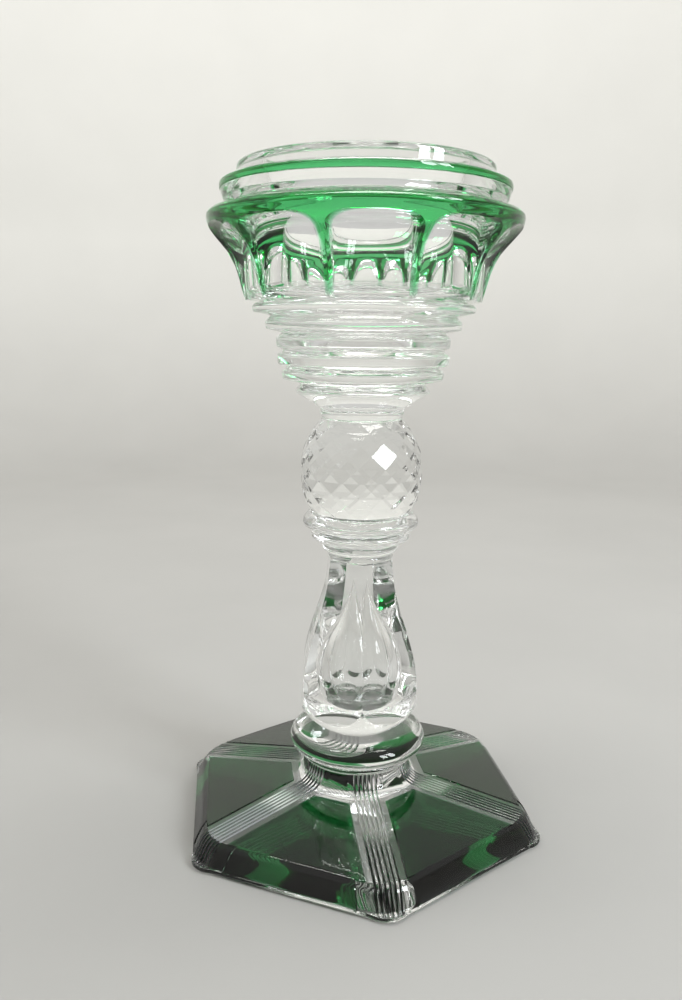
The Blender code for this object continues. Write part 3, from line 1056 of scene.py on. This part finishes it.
# --------------------------------------------------------------------- bowl
@dataclass
class Bowl:
    """Stepped base, fluted cup, green lip with pillars, green band."""

    flutes: int = 10
    turn: float = -6.0
    wheel_centre: tuple[float, float] = (51.3, 187.7)
    wheel_radius: float = 13.8
    hollows: tuple[tuple[float, float], ...] = (
        (95.0, 177.0), (88.0, 182.0), (66.0, 185.5), (47.0, 188.3),
        (36.0, 191.0), (30.0, 193.7), (28.5, 195.5), (28.0, 198.0),
        (28.0, 202.5))
    skin: float = 1.3
    seam: float = 0.03
    base_low: float = 144.2
    base_high: float = 178.6
    base_contact: float = 33.2
    top: float = 220.0
    bore: float = 32.0
    bore_floor: float = 181.5
    flute_rows: int = 26
    lip_rows: int = 14

    def stepped_base(self) -> None:
        """Build the solid base with its six stepped rings."""
        rings = [(22.3, 149.3, 151.0), (26.8, 153.8, 156.8),
                 (28.4, 158.6, 162.2), (28.7, 164.2, 167.6),
                 (32.2, 169.8, 172.8), (36.4, 175.2, 177.6)]
        depth = 1.9
        outline: Outline = [(14.2, self.base_low), (14.9, 144.9),
                            (17.2, 146.3)]
        for k, (radius, low, high) in enumerate(rings):
            outline += [(radius - 0.3, low), (radius, high - 0.8),
                        (radius - 0.5, high)]
            if k + 1 < len(rings):
                floor = min(radius, rings[k + 1][0]) - depth
                outline.append((floor, (high + rings[k + 1][1]) / 2))
        outline += [(self.base_contact, self.base_high)]
        mesh = GlassMesh("stepped_base")
        mesh.add([(0.0, 0.0, self.base_low)])
        mesh.add(circle(14.2, self.base_low, 192), Face.JOINT)
        mesh.add_outline(rounded(outline, 0.45, 4)[1:], 192)
        mesh.add([(0.0, 0.0, self.base_high)], Face.JOINT)
        settle(mesh.build(), CRYSTAL, "stepped_bowl_base")

    def wall(self) -> Outline:
        """Return the uncut outer line of the wall and over the lip.

        Returns:
            The line, from the base up.
        """
        flare = smooth_curve([(39.7, 178.75), (39.95, 181.9), (41.4, 187.6),
                              (43.9, 193.7), (47.5, 198.0), (49.7, 201.0),
                              (50.4, 203.4)], 12)
        lip = rounded([flare[-1], (50.35, 204.7), (49.3, 205.7),
                       (44.0, 207.4)], 0.35, 5)
        return flare + lip[1:]

    def flute_floor(self) -> Outline:
        """Return the line a cutting wheel leaves along a flute.

        Returns:
            The middle line of a flute, from the base up.
        """
        line: Outline = [(36.1, 177.5), (36.4, 179.7), (36.8, 182.2),
                         (37.2, 185.2), (37.5, 188.0)]
        for degrees in range(8, 88, 4):
            tilt = math.radians(degrees)
            line.append((self.wheel_centre[0]
                         - self.wheel_radius * math.cos(tilt),
                         self.wheel_centre[1]
                         + self.wheel_radius * math.sin(tilt)))
        return line + [(60.0, 201.6)]

    def flute_radius(self, off: float, height: float) -> float:
        """Return the radius of the hollow flute beside its middle line.

        Args:
            off: angle from the middle of the flute, radians.
            height: height on the wall.

        Returns:
            The radius of the cut surface there.
        """
        centre = value_at(self.floor_line, height)
        bend = math.sin(off) ** 2 / value_at(list(self.hollows), height)
        if bend < 1e-9:
            return centre
        inside = max(math.cos(off) ** 2 - 2 * centre * bend, 0.0)
        return (math.cos(off) - math.sqrt(inside)) / bend

    def meeting(self, off: float, line: Outline) -> float:
        """Return the height above which the flute has left the wall.

        Args:
            off: angle from the middle of the flute, radians.
            line: outline of the wall, from the base up.

        Returns:
            The height where the cut surface crosses the wall.
        """
        low, high = 178.9, 202.6
        if self.flute_radius(off, low) > value_at(line, low):
            return low
        for _ in range(40):
            mid = (low + high) / 2
            if self.flute_radius(off, mid) < value_at(line, mid):
                low = mid
            else:
                high = mid
        return (low + high) / 2

    def make(self) -> None:
        """Build and dress every piece of the bowl."""
        self.floor_line = self.flute_floor()
        self.wall_line = self.wall()
        self.under_line = inset(self.wall_line, self.skin)
        self.under_line.sort(key=lambda p: p[1])
        half = [0, 2, 4, 6, 8, 10, 11.5, 12.8, 13.8, 14.5, 15.0, 15.4, 15.8,
                16.2, 16.6, 17.0, 17.3, 17.6, 17.8]
        offsets = [-a for a in reversed(half[1:])] + half + [18.0]
        self.offs: list[float] = []
        self.bearings: list[float] = []
        for flute in range(self.flutes):
            middle = -90 + self.turn + 360 / self.flutes * flute
            for off in offsets:
                self.offs.append(math.radians(off))
                self.bearings.append(middle + off)
        self.outer_meets = [self.meeting(o, self.wall_line)
                            for o in self.offs]
        self.inner_meets = [min(self.meeting(o, self.under_line), m - 0.02)
                            for o, m in zip(self.offs, self.outer_meets)]
        self.stepped_base()
        settle(self.body(), CUT_CRYSTAL, "bowl_crystal_body")
        settle(self.green_lip(), BOWL_GREEN, "bowl_green_lip")
        settle(self.green_band(), BOWL_GREEN, "bowl_green_band")

    def _ring(self, radius: float, height: float) -> list[Point]:
        """Return a circle with a point on every column of the bowl."""
        return [around(radius, b, height) for b in self.bearings]

    def _flute_row(self, share: float, low: float,
                   meets: list[float]) -> list[Point]:
        """Return a row of the cut surface between low and the meeting.

        Args:
            share: how far up the row lies, from 0 to 1.
            low: height of the lowest row.
            meets: meeting height of each column.

        Returns:
            One point for each column.
        """
        loop = []
        for off, bearing, meet in zip(self.offs, self.bearings, meets):
            height = low + (meet - low) * share
            loop.append(around(self.flute_radius(off, height), bearing,
                               height))
        return loop

    def _wall_row(self, share: float, line: Outline, meets: list[float],
                  high: float) -> list[Point]:
        """Return a row of the wall between the meeting and a height.

        Args:
            share: how far up the row lies, from 0 to 1.
            line: outline of the wall.
            meets: meeting height of each column.
            high: height of the highest row.

        Returns:
            One point for each column.
        """
        loop = []
        for bearing, meet in zip(self.bearings, meets):
            height = meet + (high - meet) * share
            loop.append(around(value_at(line, height), bearing, height))
        return loop

    def body(self) -> bpy.types.Object:
        """Build the clear cup.

        Returns:
            The finished mesh object.
        """
        mesh = GlassMesh("bowl_crystal")
        mesh.add([(0.0, 0.0, self.base_high)])
        mesh.add(self._ring(self.base_contact, self.base_high), Face.JOINT)
        foot = 178.9
        for k in range(self.flute_rows + 1):
            share = k / self.flute_rows
            mesh.add(self._flute_row(share, foot, self.inner_meets),
                     crease=k in (0, self.flute_rows))
        bend = 203.4
        lip_top = self.under_line[-1]
        for k in range(1, self.lip_rows + 1):
            mesh.add(self._wall_row(k / self.lip_rows, self.under_line,
                                    self.inner_meets, bend), Face.JOINT)
        for radius, height in self.under_line:
            if height > bend + 0.01:
                mesh.add(self._ring(radius, height), Face.JOINT)
        band = 46.3 - self.skin
        edge = rounded([lip_top, (43.4, lip_top[1] + 0.9), (42.5, 208.0),
                        (45.1, 209.4), (45.9, 212.1)], 0.3, 3)
        for radius, height in edge[1:]:
            mesh.add(self._ring(radius, height))
        mesh.rows[-1].crease = True
        mesh.add(self._ring(band, 212.15), Face.JOINT)
        mesh.add(self._ring(band, 214.45), Face.JOINT, crease=True)
        rim = rounded([(band, 214.45), (44.6, 214.9), (40.9, 215.3),
                       (40.9, 219.3),
                       (40.2, self.top), (33.4, self.top),
                       (self.bore, 218.7),
                       (self.bore, self.bore_floor + 2.2),
                       (self.bore - 0.7, self.bore_floor + 0.7),
                       (self.bore - 2.2, self.bore_floor),
                       (2.0, self.bore_floor)], 0.5, 4)
        for radius, height in rim[1:]:
            mesh.add(self._ring(radius, height))
        mesh.add([(0.0, 0.0, self.bore_floor)])
        mesh.crease_columns = self._ridges()
        return mesh.build()

    def green_lip(self) -> bpy.types.Object:
        """Build the green lip with a pillar between each pair of flutes.

        Returns:
            The finished mesh object.
        """
        gap = self.seam
        under = [(r + gap, z) for r, z in self.under_line]
        mesh = GlassMesh("green_lip", closed=True)
        bend = 203.4
        inner_rows = [p for p in under if p[1] > bend + 0.01]
        for radius, height in reversed(inner_rows):
            mesh.add(self._ring(radius, height), Face.JOINT)
        for k in range(self.lip_rows, -1, -1):
            mesh.add(self._wall_row(k / self.lip_rows, under,
                                    self.inner_meets, bend), Face.JOINT)
        mesh.rows[-1].crease = True
        edge_rows = 4
        for k in range(1, edge_rows + 1):
            loop = []
            for off, bearing, low, high in zip(
                    self.offs, self.bearings, self.inner_meets,
                    self.outer_meets):
                height = low + (high - low) * k / edge_rows
                loop.append(around(self.flute_radius(off, height), bearing,
                                   height))
            mesh.add(loop, crease=k == edge_rows)
        for k in range(1, self.lip_rows + 1):
            mesh.add(self._wall_row(k / self.lip_rows, self.wall_line,
                                    self.outer_meets, bend))
        for radius, height in self.wall_line:
            if height > bend + 0.01:
                mesh.add(self._ring(radius, height))
        mesh.rows[-1].crease = True
        mesh.first_faces = Face.CUT
        mesh.crease_columns = self._ridges()
        return mesh.build()

    def _ridges(self) -> set[int]:
        """Return the columns that run along the ridges between flutes."""
        per_flute = len(self.offs) // self.flutes
        return {(flute + 1) * per_flute - 1 for flute in range(self.flutes)}

    def green_band(self) -> bpy.types.Object:
        """Build the narrow green band on the edge of the turned ring.

        Returns:
            The finished mesh object.
        """
        outer, inner = 46.3, 46.3 - self.skin + self.seam
        outline = rounded([(inner, 212.15 + self.seam), (46.1, 212.2),
                           (outer, 213.2), (outer - 0.2, 214.2),
                           (inner, 214.45)], 0.25, 4)
        mesh = GlassMesh("green_band", closed=True)
        mesh.add_outline(outline, 192)
        mesh.first_faces = Face.JOINT
        return mesh.build()


# ------------------------------------------------------------------- studio
@dataclass(frozen=True)
class SoftBox:
    """A plain area light.

    Attributes:
        name: the light's name.
        place: where it stands, metres.
        size: width and height, metres.
        power: watts.
        colour: colour of the light.
    """

    name: str
    place: Point
    size: tuple[float, float]
    power: float
    colour: tuple[float, float, float] = (1.0, 1.0, 1.0)

    def make(self, target: Vector) -> None:
        """Add the light, aimed at a point.

        Args:
            target: the point the light faces, metres.
        """
        data = bpy.data.lights.new(self.name, "AREA")
        data.shape = "RECTANGLE"
        data.size, data.size_y = self.size
        data.energy = self.power
        data.color = self.colour
        lamp = bpy.data.objects.new(self.name, data)
        lamp.location = self.place
        aim = target - Vector(self.place)
        lamp.rotation_euler = aim.to_track_quat("-Z", "Y").to_euler()
        bpy.context.scene.collection.objects.link(lamp)


@dataclass
class Studio:
    """Pale seamless floor, soft lights and the camera."""

    floor_radius: float = 0.75
    cove_radius: float = 0.35
    wall_height: float = 0.85
    camera_distance: float = 0.2833
    camera_height: float = 0.1692
    camera_bearing: float = -99.3
    pan: float = -1.365
    tilt: float = -11.27
    roll: float = 0.615
    focal_share: float = 0.8463

    def floor(self) -> None:
        """Add the pale floor that curves up into a round wall."""
        mesh = GlassMesh("studio_floor")
        lift = -0.15
        outline = [(0.0, lift), (60.0, lift), (200.0, lift), (450.0, lift)]
        steps = 20
        for k in range(steps + 1):
            angle = math.radians(90 * k / steps)
            outline.append((
                1000 * (self.floor_radius + self.cove_radius
                        * math.sin(angle)),
                lift + 1000 * self.cove_radius * (1 - math.cos(angle))))
        outline.append((outline[-1][0], 1000 * self.wall_height))
        mesh.add_outline(outline, 128)
        stage = mesh.build()
        nodes = Nodes("pale_floor")
        shader = nodes.add("ShaderNodeBsdfPrincipled")
        position = nodes.add("ShaderNodeTexCoord").outputs["Object"]
        parts = nodes.add("ShaderNodeSeparateXYZ")
        nodes.link(position, parts.inputs[0])
        ramp = nodes.add("ShaderNodeValToRGB")
        ramp.color_ramp.elements[0].color = (0.42, 0.415, 0.40, 1.0)
        ramp.color_ramp.elements[1].color = (0.68, 0.675, 0.65, 1.0)
        mottle = nodes.add("ShaderNodeMath", operation="ADD")
        nodes.link(nodes.mapped(parts.outputs["Z"], 0.0, 0.30, 0.0, 0.92),
                   mottle.inputs[0])
        nodes.link(nodes.mapped(nodes.noise(9.0, 4.0, position), 0.3, 0.7,
                                0.0, 0.08), mottle.inputs[1])
        nodes.link(mottle.outputs[0], ramp.inputs["Fac"])
        nodes.link(ramp.outputs["Color"], shader.inputs["Base Color"])
        shader.inputs["Roughness"].default_value = 0.8
        nodes.link(shader.outputs["BSDF"], nodes.output.inputs["Surface"])
        stage.data.materials.append(nodes.material)

    def lights(self) -> None:
        """Add the soft lights and the dim surroundings."""
        target = Vector((0.0, 0.0, 0.10))
        boxes = [
            SoftBox("window_left_pane", (0.52, -0.62, 0.56), (0.15, 0.40),
                    3.0, (0.93, 0.97, 1.0)),
            SoftBox("window_right_pane", (0.65, -0.48, 0.56), (0.15, 0.40),
                    3.0, (0.93, 0.97, 1.0)),
        ]
        for box in boxes:
            box.make(target)
        wash = SoftBox("wall_wash", (0.0, 0.10, 1.15), (1.0, 0.35), 10.0,
                       (1.0, 0.99, 0.96))
        wash.make(Vector((0.0, 1.1, 0.35)))
        world = bpy.data.worlds.new("studio")
        world.use_nodes = True
        sky = world.node_tree.nodes["Background"]
        sky.inputs["Color"].default_value = (1.0, 0.99, 0.965, 1.0)
        sky.inputs["Strength"].default_value = 0.64
        bpy.context.scene.world = world

    def camera(self) -> None:
        """Place the camera at the chosen viewing angle."""
        bearing = math.radians(self.camera_bearing)
        place = Vector((self.camera_distance * math.cos(bearing),
                        self.camera_distance * math.sin(bearing),
                        self.camera_height))
        flat = Vector((-math.cos(bearing), -math.sin(bearing), 0.0))
        flat.rotate(Matrix.Rotation(-math.radians(self.pan), 3, "Z"))
        tilt = math.radians(self.tilt)
        ahead = flat * math.cos(tilt) + Vector((0, 0, math.sin(tilt)))
        right = ahead.cross(Vector((0, 0, 1))).normalized()
        up = right.cross(ahead)
        roll = math.radians(self.roll)
        across = right * math.cos(roll) + up * math.sin(roll)
        upward = up * math.cos(roll) - right * math.sin(roll)
        turn = Matrix((across, upward, -ahead)).transposed()
        data = bpy.data.cameras.new("camera")
        data.sensor_fit = "VERTICAL"
        data.sensor_height = 36.0
        data.lens = data.sensor_height * self.focal_share
        data.clip_start = 0.01
        data.dof.use_dof = False
        eye = bpy.data.objects.new("camera", data)
        eye.matrix_world = Matrix.Translation(place) @ turn.to_4x4()
        bpy.context.scene.collection.objects.link(eye)
        bpy.context.scene.camera = eye

    def light_paths(self) -> None:
        """Let light pass through as many glass surfaces as it needs."""
        cycles = bpy.context.scene.cycles
        cycles.max_bounces = 32
        cycles.transmission_bounces = 32
        cycles.glossy_bounces = 12
        cycles.transparent_max_bounces = 48
        bpy.context.scene.view_settings.view_transform = "Standard"

    def make(self) -> None:
        """Set up the whole studio."""
        self.floor()
        self.lights()
        self.camera()
        self.light_paths()


def main() -> None:
    """Build the candlestick and its studio, reporting each piece."""
    logging.basicConfig(level=logging.INFO, format="%(name)s: %(message)s")
    steps: list[tuple[str, Callable[[], None]]] = [
        ("studio", Studio().make),
        ("foot", Foot().make),
        ("stem rings", StemRings().make),
        ("baluster", Baluster().make),
        ("knop", Knop().make),
        ("bowl", Bowl().make),
    ]
    for name, make in steps:
        make()
        LOG.info("finished the %s", name)


if __name__ == "__main__":
    main()
